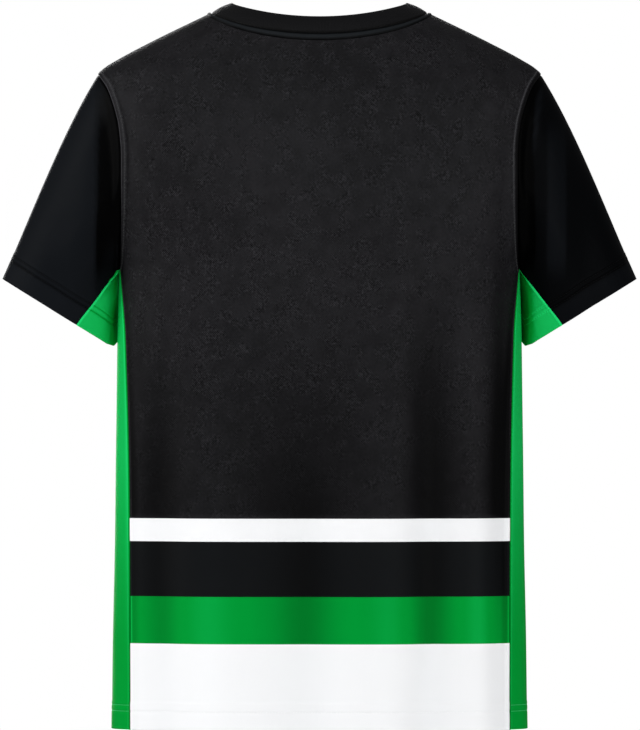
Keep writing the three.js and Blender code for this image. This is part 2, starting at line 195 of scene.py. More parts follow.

# Slighter creases, for the looks alone: the middle of each, its length, its lean from upright in degrees,
# half spread, depth, and the painted shade (below 0) or painted highlight (above 0) in it
CREASES = named(
    "part x z length lean spread depth tone",
    ("back", 176, -290, 190, -4, 6, 1.1, -0.15),
    ("back", 188, -150, 120, 3, 5, 1.2, -0.1),
    ("back", -184, -170, 140, -2, 5, 1.2, -0.1),
    ("back", -181, -450, 420, 0, 13, 2.2, -0.75),
    ("back", 14, -440, 130, 0, 30, 0.2, 0.15),
    ("back", 60, -560, 260, 2, 13, 1.6, -0.1),
    ("back", -40, -600, 220, -3, 11, -1.2, 0),
    ("front", 178, -290, 180, 5, 7, 1.5, -0.2),
    ("front", -180, -300, 190, -5, 7, 1.5, -0.2),
    ("front", 120, -190, 110, 38, 9, 1.2, -0.1),
    ("front", -126, -200, 120, -42, 9, 1.2, -0.1),
    ("front", 100, -600, 230, -2, 12, 1.5, -0.1),
    ("front", -104, -610, 210, 3, 12, -1.4, 0),
    ("left gusset", 203.6, -303, 66, 0, 1.1, 0.5, -1),
    ("left gusset", 204, -322, 60, 0, 5, 0.2, -0.8),
    ("right gusset", -203, -305, 90, 0, 7, 0.7, -2.2),
)

# How dark or light each piece's cloth is painted as a whole, by level. The right sleeve is painted darker
# and the left lighter, as painted shade and painted light from the light at the left; the mesh is darker
# towards the bottom, the side panels lighter towards the top and the gussets lighter
PIECE_TONES = {
    "mesh": [(-505, -0.47), (-450, -0.43), (-390, -0.3), (-320, -0.12), (-230, -0.02)],
    "side": [(-715, -0.05), (-640, 0.05), (-540, 0.25), (-440, 0.45), (-256, 0.4)],
    "left sleeve": [(-256, 0.2)],
    "right sleeve": [(-256, -0.64)],
    "left gusset": [(-340, 0.5), (-290, 0.52)],
    "right gusset": [(-340, 0.5), (-290, 0.56)],
}

# What lies beside each sewn edge of a piece: the width of the layers under it, how far they lift the cloth,
# how far from the seam its row of stitches runs, and the painted highlight (above 0) on the raised layers
# or painted shade (below 0) in the seam's groove and beside the stitches, at distances from the seam
PLAIN = {"tone": [(0, 0)]}
# The left armhole's seam gets a painted highlight and the right's a painted shade, as the light falls from
# the left
ARMHOLE_BANDS = {
    "left": {
        "layers": 6.8, "lift": 0.75, "stitch": 5.0, "low": 0.5,
        "tone": [(0, 0.66), (1.2, 0.66), (2.2, -0.4), (3, 0), (3.8, 0.4), (6.2, 0.35), (7.3, -0.4),
                 (9, -0.3), (11, 0)],
    },
    "right": {
        "layers": 6.8, "lift": 0.75, "stitch": 5.6, "low": 0.6,
        "tone": [(0, -0.9), (1, -0.7), (3.8, -0.7), (4.6, 0.2), (5.1, 0.6), (6.2, 0.6), (7, 0),
                 (8, -0.2), (10, 0)],
    },
}
SIDE_BAND = {
    "layers": 6.0, "lift": 0.6, "stitch": 4.8,
    "tone": [(0, -0.8), (1.2, -0.6), (2.2, 0.5), (3.0, 0.4), (4.2, -0.4), (8, -0.3), (13, 0)],
}
GUSSET_PIPE = {"layers": 2.2, "lift": 0.6, "tone": [(0, 0.6), (1.2, 0.6), (2.4, 0)]}
PANEL_PIPE = {
    "layers": 3.4, "lift": 0.55,
    "tone": [(0, -0.9), (1.0, -0.6), (1.8, 0.3), (3.0, 0.3), (4.5, 0)],
}
SLEEVE_SEAM = {"tone": [(0, -1), (1.4, -0.9), (3.2, -0.5), (4.2, 0.1), (5.2, -0.4), (9, 0)]}
NECK_SEAM = {"tone": [(0, -1), (1.4, -0.9), (2.6, 0)]}
PRESSED = {"layers": 6.0, "lift": 0.4, "tone": [(0, -0.5), (1.2, 0)]}
# Painted shade in the body's folds and painted highlight on its ridges: how much darker the cloth is
# painted for each millimetre of a fold's depth
FOLD_PAINTED_SHADE = {"mesh": -0.042, "bands": -0.072}
# How far below the shoulders the painted highlight along a seam fades to the share that its "low" gives
HIGHLIGHT_FADES = (130, 220)
SEAM_DEPTH = 0.8
SEAM_SPREAD = 0.9
STITCH_DEPTH = 0.4
STITCH_SPREAD = 0.9
ROW_SPREAD = 0.65

# Hems: how high each is turned up, and the height of its rows of stitches with the painted shade (below 0)
# or painted highlight (above 0) along each row; the right gusset's rows are painted lighter, as they catch
# the light
PANEL_HEM = {"turned": 27, "rows": [(18, -0.35)]}
SIDE_HEM = {"turned": 27, "rows": [(18, -0.2), (24, -0.1)]}
SLEEVE_HEM = {"turned": 29, "rows": [(20.6, -1.2), (26.1, -0.5)]}
GUSSET_HEMS = {
    "left": {"turned": 29, "rows": [(20.6, -0.7), (26.1, -0.4)]},
    "right": {"turned": 29, "rows": [(20.6, 0.5), (26.1, 0.4)]},
}
HEM_TONES = {"left sleeve": 0.05, "right sleeve": 0.28, "left gusset": 0, "right gusset": 0}
HEM_TONE_ENDS = (17, 20.5)  # heights above the hem
HEM_LIFT = 0.4
PUCKER = {"height": 21, "spread": 6, "depth": 0.13, "pitch": 1.35, "drift": 1.9, "drift_pitch": 6.1}

# Distances from a seam over which creases and the cloth's unevenness begin, and the unevenness
# itself: two waves, with their depth and the lengths over which they turn
CREASES_BEGIN = (0, 8)
UNEVEN_BEGINS = (2, 26)
FRONT_SHIFT = 35  # moves the unevenness across, so that the front differs from the back
INNER_LIFT = 0.2  # the most that a lifted place moves the inside
UNEVEN_WIDE = {"depth": 0.28, "across": 17.3, "drift": 1.7, "drift_up": 88, "up": 71, "lean": 140}
UNEVEN_NARROW = {"depth": 0.12, "across": 8.1, "lean": 61, "up": 47}

# Welt on the panels under the collar seam: its width at the middle and at the shoulders
WELT = {"middle": 8.0, "side": 4.2, "starts": 0.5, "height": 1.3, "roundness": 0.55, "under": 0.3}
WELT_COLUMNS = 90
WELT_ROWS = 11
# Painted shade along the welt's edges and painted highlight on its crown, across its width
WELT_TONE = [(0, -1), (0.16, -0.6), (0.3, 0.8), (0.66, 0.7), (0.84, -0.6), (1, -1)]

# Stitches
STITCH = {"pitch": 3.0, "length": 2.3, "radius": 0.26, "sides": 6}

# Camera: a long lens behind the jersey, so that 1 mm at the side line is 1 pixel
PHOTO_HEIGHT = 730
SENSOR = 36
LENS = 600
SURROUND_LIGHT = 0.2  # how bright the white surround is as a light
CAMERA_AIM = np.array([-0.5, 0, -352])


# Numbers and small shapes


def smooth(value, low, high):
    """A soft step from 0 at the low value to 1 at the high one."""
    t = np.clip((value - low) / (high - low), 0, 1)
    return t * t * (3 - 2 * t)


def bell(distance, spread):
    return np.exp(-((distance / spread) ** 2))


def mix(start, end, share):
    return start + (end - start) * share


def unit(vectors):
    """The same directions with a length of 1."""
    return vectors / np.maximum(np.linalg.norm(vectors, axis=-1, keepdims=True), TINY)


def hermite(start, start_slope, end, end_slope, t):
    """A cubic from one value and slope to another."""
    return (
        (2 * t**3 - 3 * t**2 + 1) * start
        + (t**3 - 2 * t**2 + t) * start_slope
        + (3 * t**2 - 2 * t**3) * end
        + (t**3 - t**2) * end_slope
    )


def reader(table, column):
    """A function that reads a table's column at any level, with no overshoot between its rows."""
    level = np.array([row["z"] for row in reversed(table)], float)
    value = np.array([row[column] for row in reversed(table)], float)
    slope = np.diff(value) / np.diff(level)
    product = slope[:-1] * slope[1:]
    total = slope[:-1] + slope[1:]
    inner = np.where(product > 0, 2 * product / np.where(total == 0, 1, total), 0)
    tangent = np.concatenate([slope[:1], inner, slope[-1:]])

    def read(z):
        z = np.clip(z, level[0], level[-1])
        k = np.clip(np.searchsorted(level, z) - 1, 0, len(level) - 2)
        step = level[k + 1] - level[k]
        t = (z - level[k]) / step
        return hermite(value[k], tangent[k] * step, value[k + 1], tangent[k + 1] * step, t)

    return read


def fill(stops, step):
    """The stops in rising order, with even steps between them."""
    stops = sorted(set(float(stop) for stop in stops))
    parts = [
        np.linspace(a, b, max(1, math.ceil((b - a) / step)) + 1)[:-1]
        for a, b in zip(stops, stops[1:])
    ]
    return np.concatenate(parts + [np.array(stops[-1:])])


def lengths_along(points):
    """How far along a line of points each one lies."""
    steps = np.linalg.norm(np.diff(points, axis=0), axis=-1)
    return np.concatenate([[0], np.cumsum(steps)])


# The body's outer form. An angle of 0 is the left side line, the back has angles up to pi and the
# front has the same angles below zero.

body_width = reader(SECTIONS, "width")
body_back = reader(SECTIONS, "back")
body_front = reader(SECTIONS, "front")
armhole_x = reader(ARMHOLE, "x")
side_seam_x = reader(SIDE_SEAM, "x")


def body_depth(angle, z):
    return np.where(np.sin(angle) >= 0, body_back(z), body_front(z))


def body_form(angle, z):
    """A point of the body's form without folds."""
    angle, z = np.broadcast_arrays(np.asarray(angle, float), np.asarray(z, float))
    x = body_width(z) * np.cos(angle)
    y = body_depth(angle, z) * np.sin(angle)
    return np.stack([x, y, z], -1)


def fold_depth(angle, x, z):
    """How far the body's folds push its surface in."""
    depth = np.zeros(np.shape(x))
    for fold in BODY_FOLDS:
        shown = (np.sin(angle) >= 0) == (fold["panel"] == "back")
        deepens = smooth(-z, -fold["top"], -fold["top"] + fold["fade"])
        depth += shown * fold["depth"] * bell(x - fold["x"], fold["spread"]) * deepens
    return depth


def body_point(angle, z):
    """A point of the body's outer form, folds and all."""
    point = body_form(angle, z)
    across = np.cos(angle) / body_width(z)
    through = np.sin(angle) / body_depth(angle, z)
    outwards = unit(np.stack(np.broadcast_arrays(across, through, 0.0 * point[..., 2]), -1))
    return point - outwards * fold_depth(angle, point[..., 0], point[..., 2])[..., None]


def level_tone(piece, z):
    """How dark or light a piece's cloth is painted at a level, with painted shade and painted light on the
    sleeves among it.
    """
    levels, tones = zip(*PIECE_TONES[piece])
    return np.interp(z, levels, tones)


def body_normal(angle, z):
    """The outward direction of the body's form, square to its surface."""
    around = body_point(angle + 0.01, z) - body_point(angle - 0.01, z)
    up = body_point(angle, z + 1) - body_point(angle, z - 1)
    return unit(np.cross(around, up))


def angle_at(x, z):
    """The angle at which the body's form lies a given distance out from the middle."""
    return np.arccos(np.clip(x / body_width(z), -1, 1))


def arc_from_middle(angle, z):
    """How far round the body a place lies from the middle of its panel."""
    share = np.linspace(0, 1, 17)
    turn = angle[..., None] + (math.pi / 2 - angle[..., None]) * share
    wide = body_width(z)[..., None] * np.sin(turn)
    deep = body_back(z)[..., None] * np.cos(turn)
    speed = np.sqrt(wide**2 + deep**2)
    return (speed[..., 1:] + speed[..., :-1]).mean(-1) / 2 * (math.pi / 2 - angle)


# Grid steps, closer beside seams, stitches and hems

NEAR_SEAM = np.array([0, 0.3, 0.7, 1.2, 1.8, 2.5, 3.3, 4.1, 4.8, 5.5, 6.2, 7.1, 8.2, 10, 13])
NEAR_NECK = np.array([0, 0.3, 0.8, 1.5, 2.4, 3.4, 4.6, 6, 8, 10, 13, 17, 22])
PANEL_SHARE_LENGTH = 150  # about how far a half panel's whole share of columns runs
HALF_COLUMNS = fill([*NEAR_SEAM / PANEL_SHARE_LENGTH, *(1 - NEAR_NECK / PANEL_SHARE_LENGTH)], 0.034)

band_levels = [band["top"] for band in BANDS[:-1]]
hem_heights = [
    0, 0.4, 1, 2, 4, 8, 13, 16.4, 17.3, 18, 18.7, 19.6, 21, 22.4, 23.3, 24, 24.7, 25.6, 27, 28, 30,
]
SIDE_LEVELS = fill(
    [*(HEM + height for height in hem_heights), *band_levels, ARMPIT - 5, ARMPIT - 2.5, ARMPIT - 1, ARMPIT],
    5.2,
)

NEAR_SHOULDER = 1 - np.array([0, 0.0015, 0.004, 0.008, 0.014, 0.02, 0.028, 0.04])


def upper_shares(panel):
    """Rows above the armpit, as shares of the way up the armhole."""
    starts = NECK[panel]["starts"]
    drop = (NECK[panel]["drop"] + ARMPIT) / starts  # how far down the middle line a whole share runs
    below_neck = starts + NEAR_NECK[:9] / drop
    return fill([0, 0.004, 0.01, *below_neck, *NEAR_SHOULDER], 0.0125)


UPPER_SHARES = {panel: upper_shares(panel) for panel in NECK}
PANEL_COLUMNS = fill(
    [*(-1 + NEAR_SEAM[:9] / 60), -0.7, 0, 0.7, *(1 - NEAR_SEAM[:9] / 60)],
    0.14,
)
SLEEVE_ROWS = fill([0, 0.0015, 0.004, 0.008, 0.013, 0.019, 0.027, 0.037, 0.05, 0.07, 1], 0.03)
SLEEVE_HEM_HEIGHTS = np.array(
    [34, 31, 29.6, 28.6, 27.6, 26.8, 26.1, 25.4, 24.4, 22.8, 21.4]
    + [20.6, 19.8, 18.6, 15, 10, 5, 2, 1, 0.4, 0]
)
COLLAR_ROWS = np.array([0, 0.015, 0.04, 0.07, 0.11, 0.18, 0.3, 0.45, 0.6, 0.74, 0.84, 0.91, 0.96, 0.985, 1])


def armhole_levels(shares):
    return mix(ARMPIT, SHOULDER_TIP, np.sin(shares * math.pi / 2))


def edge_angle(z):
    """The angle of a panel's side edge: the side seam, and above it the armhole to the shoulder."""
    x = np.where(z > ARMPIT, armhole_x(z), side_seam_x(z))
    return np.where(z < SHOULDER_TIP - TOLERANCE, angle_at(x, z), 0.0)


def neck_places(panel, shares):
    """Angles and levels along half a neckline, from the middle up to the high shoulder point."""
    drop, roundness = NECK[panel]["drop"], NECK[panel]["roundness"]
    sign = 1 if panel == "back" else -1

    def place(t):
        turn = (math.pi / 2) * (1 - t)
        z = -drop * np.sin(turn) ** roundness
        return angle_at(NECK_HALF_WIDTH * np.cos(turn), z), z

    even = np.linspace(0, 1, 400)
    angle, z = place(even)
    along = lengths_along(body_form(sign * angle, z))
    return place(np.interp(shares * along[-1], along, even))


def half_panel(panel):
    """Angles and levels of the left half of a panel: columns from its side edge to its middle."""
    shares = UPPER_SHARES[panel]
    starts = NECK[panel]["starts"]
    below = shares < starts - TOLERANCE
    neck_low = -NECK[panel]["drop"]
    neck_angle, neck_z = neck_places(panel, (shares[~below] - starts) / (1 - starts))
    middle_z = mix(ARMPIT, neck_low, shares[below] / starts)
    middle_rows = len(SIDE_LEVELS) - 1 + below.sum()
    inner_angle = np.concatenate([np.full(middle_rows, math.pi / 2), neck_angle])
    inner_z = np.concatenate([SIDE_LEVELS[:-1], middle_z, neck_z])
    outer_z = np.concatenate([SIDE_LEVELS[:-1], armhole_levels(shares)])
    outer_angle = edge_angle(outer_z)
    share = HALF_COLUMNS[:, None]
    return mix(outer_angle, inner_angle, share), mix(outer_z, inner_z, share)


# Patches: grids of points on the jersey's form


class Patch:
    """A grid of points on the outer form, their places on the flat cloth, and its sewn edges."""

    def __init__(self, points, cloth, middle):
        self.points = points
        self.cloth = cloth
        self.middle = middle
        self.seams = {}
        self.hem_height = np.full(points.shape[:2], FAR)
        self.hem = PANEL_HEM
        self.tone = np.zeros(points.shape[:2])

    def grid_normals(self):
        """Normals of the cells, as long as each cell's area, facing away from the middle."""
        p = self.points
        normal = np.cross(p[1:, 1:] - p[:-1, :-1], p[:-1, 1:] - p[1:, :-1]) / 2
        centre = (p[1:, 1:] + p[:-1, :-1]) / 2
        self.faces_out = (normal * (centre - self.middle)).sum() > 0
        return normal if self.faces_out else -normal


WELD = 0.013  # points of the form that are closer than this are the same point


def share_normals(patches):
    """Gives every point the normal of the whole jersey there, also where two pieces meet."""
    sums = []
    for patch in patches:
        total = np.zeros_like(patch.points)
        cells = patch.grid_normals()
        total[1:, 1:] += cells
        total[:-1, 1:] += cells
        total[1:, :-1] += cells
        total[:-1, :-1] += cells
        sums.append(total.reshape(-1, 3))
    points = np.concatenate([patch.points.reshape(-1, 3) for patch in patches])
    keys = np.round(points / WELD).astype(np.int64)
    _, same = np.unique(keys, axis=0, return_inverse=True)
    same = same.reshape(-1)
    shared = np.zeros((same.max() + 1, 3))
    np.add.at(shared, same, np.concatenate(sums))
    normals = unit(shared)[same]
    start = 0
    for patch in patches:
        count = patch.points[..., 0].size
        patch.normals = normals[start : start + count].reshape(patch.points.shape)
        start += count


def panel_patch(panel, side):
    """Half of the back or front."""
    angle, z = half_panel(panel)
    arc = arc_from_middle(angle, z)
    on_side = angle if side == "left" else math.pi - angle
    points = body_point(on_side if panel == "back" else -on_side, z)
    sign = 1 if side == "left" else -1
    patch = Patch(points, np.stack([sign * arc, z], -1), np.array([0, 0, z.mean()]))
    armpit = len(SIDE_LEVELS) - 1
    neck = armpit + int((UPPER_SHARES[panel] < NECK[panel]["starts"] - TOLERANCE).sum())
    patch.seams = {
        "side": points[0, : armpit + 1],
        "armhole": points[0, armpit:],
        "neck": points[-1, neck:],
        "shoulder": points[:, -1],
    }
    patch.hem_height = z - HEM
    angle = on_side if panel == "back" else -on_side
    in_mesh = z > BANDS[-2]["top"]
    fold = fold_depth(angle, body_form(angle, z)[..., 0], z)
    # Painted shade in the folds and painted highlight on the ridges, and the mesh darker towards the bottom
    patch.tone = fold * np.where(in_mesh, FOLD_PAINTED_SHADE["mesh"], FOLD_PAINTED_SHADE["bands"])
    patch.tone += level_tone("mesh", z) * in_mesh
    return patch


def side_patch(side):
    """A side panel, from the front's seam to the back's."""
    low = edge_angle(SIDE_LEVELS)
    angle = PANEL_COLUMNS[:, None] * low
    z = np.broadcast_to(SIDE_LEVELS, angle.shape)
    points = body_point(angle if side == "left" else math.pi - angle, z)
    patch = Patch(points, np.stack([points[..., 1], z], -1), np.array([0, 0, z.mean()]))
    patch.seams = {"front": points[0], "back": points[-1], "underarm": points[:, -1]}
    patch.hem_height = z - HEM
    patch.hem = SIDE_HEM
    patch.tone = level_tone("side", z)
    return patch


# Sleeves


def cuff_point(turn):
    """The left sleeve's hem: an angle of 0 is the outer end, and the back's angles are above 0."""
    lift = CUFF["underarm_lift"] * smooth(-np.cos(turn), CUFF["lift_start"], 1)
    point = CUFF["middle"] + CUFF["along"] * np.cos(turn)[..., None]
    point[..., 1] += CUFF["across"] * np.sin(turn)
    point[..., 2] += lift
    return point


def sleeve_point(start, ring, share):
    """Points of the left sleeve, from its armhole points to its hem."""
    gusset = CUFF["gusset_angle"] + CUFF["gusset_bow"] * 4 * share * (1 - share)
    turn = ring["gusset_part"][:, None] * gusset - ring["under_part"][:, None] * 2 * math.pi
    under = ((1 - np.cos(turn)) / 2) ** SLEEVE_UNDER_POWER

    def heading(way):
        x = way["x"] + way["x_outer"] * np.cos(turn) + way["x_under"] * under
        y = way["y"] + way["y_under"] * under + way["y_back"] * np.sin(turn)
        z = way["z"] + way["z_outer"] * np.cos(turn)
        return np.stack([x, y, z], -1)

    t = share[..., None]
    point = hermite(start[:, None], heading(SLEEVE_START), cuff_point(turn), heading(SLEEVE_END), t)
    depth = np.where(point[..., 1] >= 0, body_back(point[..., 2]), body_front(point[..., 2]))
    reach = np.sqrt(np.maximum(0, 1 - (point[..., 1] / depth) ** 2))
    settled = np.minimum(1, share / CLEAR_BY)
    limit = body_width(point[..., 2]) * reach + CLEAR_OF_BODY * settled
    past = point[..., 0] - limit
    softness = CLEAR_SOFTNESS * settled
    clear = limit + (past + np.sqrt(past**2 + softness**2)) / 2
    below = smooth(ARMPIT - point[..., 2], *CLEAR_BELOW)
    point[..., 0] = mix(point[..., 0], clear, below)
    return point


def ring_normals(points):
    """Outward directions of a closed ring of columns."""
    around = np.roll(points, -1, 0) - np.roll(points, 1, 0)
    along = np.gradient(points, axis=1)
    return unit(np.cross(around, along))


def sleeve_fold_depth(sleeve, points):
    """How far a sleeve's folds push it in, and the painted shade or highlight in them and on the right
    sleeve's ridge.
    """
    depth, tone = np.zeros(points.shape[:2]), np.zeros(points.shape[:2])
    for fold in SLEEVE_FOLDS:
        if fold["sleeve"] != sleeve:
            continue
        down = -points[..., 2]
        start = smooth(down, -fold["top"], -fold["top"] + SLEEVE_FOLD_TOP)
        end = 1 - smooth(down, -fold["bottom"] - SLEEVE_FOLD_BOTTOM, -fold["bottom"])
        off = points[..., 0] - fold["x"]
        depth += fold["depth"] * bell(off, fold["spread"]) * start * end
        inner_side = off if fold["tone"] < 0 else np.abs(off)
        flat_part = 1 - smooth(inner_side, *(FOLD_TONE_ENDS * fold["spread"]))
        tone += fold["tone"] * flat_part * start * end
    if sleeve == "right":
        down = (RIDGE["top"] - points[..., 2]) / (RIDGE["top"] - RIDGE["bottom"])
        line = mix(RIDGE["top_x"], RIDGE["bottom_x"], down)
        along = smooth(down, *RIDGE["fades_in"]) * (1 - smooth(down, *RIDGE["fades_out"]))
        place = bell(points[..., 0] - line, RIDGE["spread"]) * along
        depth -= RIDGE["height"] * place
        tone += RIDGE["tone"] * place
    return depth, tone


def whole_sleeve(side):
    """The ring of a sleeve: up the back, over the top, down the front and under the arm."""
    back_z = armhole_levels(UPPER_SHARES["back"])
    front_z = armhole_levels(UPPER_SHARES["front"])[::-1][1:]
    low = edge_angle(np.array(ARMPIT, float))
    under = low * PANEL_COLUMNS[1:-1]
    angle = np.concatenate([edge_angle(back_z), -edge_angle(front_z), under])
    z = np.concatenate([back_z, front_z, np.full(len(under), float(ARMPIT))])
    top = len(back_z) - 1
    front_seam = top + len(front_z)
    along = lengths_along(body_form(angle, z))
    back_part = 1 - along[:top] / along[top]
    front_part = (along[top] - along[top:front_seam]) / (along[front_seam] - along[top])
    under_part = (PANEL_COLUMNS[:-1] + 1) / 2
    ring = {
        "gusset_part": np.concatenate([back_part, front_part, 2 * under_part - 1]),
        "under_part": np.concatenate([0 * back_part, 0 * front_part, under_part]),
    }
    start = body_point(angle, z)
    even = np.linspace(0, 1, 140)
    rough = sleeve_point(start, ring, np.broadcast_to(even, (len(start), len(even))))
    steps = np.linalg.norm(np.diff(rough, axis=1), axis=-1)
    walked = np.concatenate([np.zeros((len(start), 1)), np.cumsum(steps, 1)], 1)
    total = walked[:, -1:]
    upper = (total - SLEEVE_HEM_HEIGHTS[0]) * SLEEVE_ROWS[:-1]
    place = np.concatenate([upper, total - SLEEVE_HEM_HEIGHTS], 1)
    share = np.stack([np.interp(place[k], walked[k], even) for k in range(len(start))])
    share[:, 0] = 0
    points = sleeve_point(start, ring, share)
    plain = ring_normals(points)
    depth, tone = sleeve_fold_depth(side, points)
    points -= plain * (depth * plain[..., 1] ** 2 * smooth(share, 0, SEAM_HOLDS))[..., None]
    tone *= plain[..., 1] ** 2
    if side == "right":
        points = points * np.array([-1, 1, 1])
        angle = math.pi - angle
    points[:, 0] = body_point(angle, z)
    hem_along = lengths_along(np.concatenate([points[:, -1], points[:1, -1]]))
    return points, hem_along, total - place, tone, front_seam


def sleeve_patches(side):
    """The sleeve and its gusset, as two patches of one ring."""
    points, hem_along, height, tone, front_seam = whole_sleeve(side)
    ring = len(points)
    middle = points.mean((0, 1))

    def part(name, columns, across):
        grid = points[columns % ring]
        cloth = np.stack([np.broadcast_to(across[:, None], grid.shape[:2]), height[columns % ring]], -1)
        patch = Patch(grid, cloth, middle)
        patch.hem_height = height[columns % ring]
        patch.hem = SLEEVE_HEM if name == "sleeve" else GUSSET_HEMS[side]
        patch.tone = tone[columns % ring] + level_tone(f"{side} {name}", grid[..., 2])
        in_hem = 1 - smooth(patch.hem_height, *HEM_TONE_ENDS)
        patch.tone += HEM_TONES[f"{side} {name}"] * in_hem
        patch.seams = {"armhole": grid[:, 0], "first": grid[0], "last": grid[-1]}
        return patch

    sleeve = part("sleeve", np.arange(0, front_seam + 1), hem_along[: front_seam + 1])
    gusset = part("gusset", np.arange(front_seam, ring + 1), hem_along[front_seam:])
    return sleeve, gusset


# Collar


def collar_patch():
    """The rib band round the neck, as one ring."""
    quarters = {}
    for panel in NECK:
        shares = UPPER_SHARES[panel]
        starts = NECK[panel]["starts"]
        above = shares[shares > starts - TOLERANCE]
        quarters[panel] = neck_places(panel, (above - starts) / (1 - starts))
    back_angle, back_z = quarters["back"]
    front_angle, front_z = quarters["front"]
    angle = np.concatenate(
        [
            back_angle[::-1][:-1],
            math.pi - back_angle[:-1],
            -(math.pi - front_angle[::-1][:-1]),
            -front_angle[:-1],
        ]
    )
    z = np.concatenate([back_z[::-1][:-1], back_z[:-1], front_z[::-1][:-1], front_z[:-1]])
    seam = body_point(angle, z)
    normal = body_normal(angle, z)
    along = unit(np.roll(seam, -1, 0) - np.roll(seam, 1, 0))
    middle = np.abs(np.sin(angle)) ** 2
    lean = np.where(np.sin(angle) >= 0, COLLAR["back_lean"], COLLAR["front_lean"]) * middle
    up = unit(np.cross(normal, along) - normal * lean[:, None])
    width = mix(COLLAR["side_width"], COLLAR["middle_width"], middle)
    share = COLLAR_ROWS[None, :, None]
    points = (
        seam[:, None]
        + up[:, None] * width[:, None, None] * share
        + normal[:, None] * COLLAR["crown"] * np.sin(math.pi * share)
    )
    points = np.concatenate([points, points[:1]])
    around = lengths_along(np.concatenate([seam, seam[:1]]))
    up_band = np.append(width, width[0])[:, None] * COLLAR_ROWS
    cloth = np.stack(np.broadcast_arrays(around[:, None], up_band), -1)
    patch = Patch(points, cloth, points.mean((0, 1)))
    patch.seams = {"neck": points[:, 0]}
    return patch


# Relief: seams, layers, stitches, hems and creases


def distance_to(points, line):
    """How far each point lies from a line of points."""
    start, way = line[:-1], np.diff(line, axis=0)
    square = np.maximum((way**2).sum(-1), TINY)
    flat = points.reshape(-1, 3)
    nearest = np.empty(len(flat))
    block = 4000
    for first in range(0, len(flat), block):
        part = flat[first : first + block, None] - start
        t = np.clip((part * way).sum(-1) / square, 0, 1)
        gap = part - way * t[..., None]
        nearest[first : first + block] = np.sqrt((gap**2).sum(-1).min(1))
    return nearest.reshape(points.shape[:-1])


def creases(part, x, z):
    """How far the slighter creases push a piece in, and the painted shade or highlight in them."""
    depth, tone = np.zeros(np.shape(x)), np.zeros(np.shape(x))
    for crease in CREASES:
        if crease["part"] != part:
            continue
        lean = math.radians(crease["lean"])
        across, up = x - crease["x"], z - crease["z"]
        along = up * math.cos(lean) + across * math.sin(lean)
        off = across * math.cos(lean) - up * math.sin(lean)
        place = bell(off, crease["spread"]) * bell(along, crease["length"] / 2)
        depth += crease["depth"] * place
        tone += crease["tone"] * place
    return depth, tone


def softness(x, z):
    """The slight unevenness of hanging cloth, longer upright than across."""
    wide, narrow = UNEVEN_WIDE, UNEVEN_NARROW
    broad = np.sin(x / wide["across"] + wide["drift"] * np.sin(z / wide["drift_up"]) + 0.6)
    broad = broad * np.sin(z / wide["up"] + x / wide["lean"])
    slight = np.sin(x / narrow["across"] - z / narrow["lean"] + 2.1) * np.sin(z / narrow["up"] + 0.4)
    return wide["depth"] * broad + narrow["depth"] * slight


def finish_patch(patch, edges, part, thickness):
    """Works out a patch's outer and inner surfaces from the layers, stitches and hems beside it."""
    lift = np.zeros(patch.points.shape[:2])
    layers = np.zeros_like(lift)
    patch.from_seam = {}
    nearest = np.full(lift.shape, FAR)
    for name, style in edges.items():
        gap = distance_to(patch.points, patch.seams[name])
        patch.from_seam[name] = gap
        nearest = np.minimum(nearest, gap)
        if "layers" in style:
            under = 1 - smooth(gap, style["layers"] - 1.0, style["layers"] + 0.8)
            lift = np.maximum(lift, style["lift"] * under)
            layers = np.maximum(layers, under)
        if "stitch" in style:
            lift = lift - STITCH_DEPTH * bell(gap - style["stitch"], STITCH_SPREAD)
        # Painted highlight on a seam's raised layers and painted shade in its groove, the highlight fading
        # lower down
        distances, tones = zip(*style["tone"])
        tone = np.interp(gap, distances, tones)
        fading = mix(1, style.get("low", 1), smooth(-patch.points[..., 2], *HIGHLIGHT_FADES))
        patch.tone = patch.tone + np.where(tone > 0, tone * fading, tone)
    turned = 1 - smooth(patch.hem_height, patch.hem["turned"] - 1, patch.hem["turned"] + 1)
    across = patch.cloth[..., 0]
    lift = lift + HEM_LIFT * turned
    # Painted shade or highlight along each row of hem stitches
    for height, tone in patch.hem["rows"]:
        away = patch.hem_height - height
        lift = lift - STITCH_DEPTH * bell(away, STITCH_SPREAD)
        patch.tone = patch.tone + tone * bell(away, ROW_SPREAD)
    drift = PUCKER["drift"] * np.sin(across / PUCKER["drift_pitch"])
    pucker = PUCKER["depth"] * np.sin(across / PUCKER["pitch"] + drift)
    lift = lift + pucker * bell(patch.hem_height - PUCKER["height"], PUCKER["spread"])
    x, z = patch.points[..., 0], patch.points[..., 2]
    crease, crease_tone = creases(part, x, z)
    lift = lift - crease * smooth(nearest, *CREASES_BEGIN)
    patch.tone = patch.tone + crease_tone
    if thickness == CLOTH:
        shift = FRONT_SHIFT if part == "front" else 0
        lift = lift + softness(across + shift, z) * smooth(nearest, *UNEVEN_BEGINS)
    lift = lift - SEAM_DEPTH * bell(nearest, SEAM_SPREAD)
    inward = thickness + SEAM_ALLOWANCE * layers + HEM_TURNING * turned
    patch.outer = patch.points + patch.normals * lift[..., None]
    patch.inner = patch.points + patch.normals * (np.minimum(lift, INNER_LIFT) - inward)[..., None]


# Meshes


RIM_PUSH = 0.15  # how far an open edge rounds out, in thicknesses


def mesh_piece(name, vertices, faces, finishes):
    """A smooth mesh of points in millimetres, as an object in the scene."""
    mesh = bpy.data.meshes.new(name)
    mesh.from_pydata((vertices * MM).tolist(), [], faces)
    for finish in finishes:
        mesh.materials.append(finish)
    mesh.polygons.foreach_set("use_smooth", np.ones(len(faces), bool))
    mesh.update()
    piece = bpy.data.objects.new(name, mesh)
    bpy.context.scene.collection.objects.link(piece)
    return piece


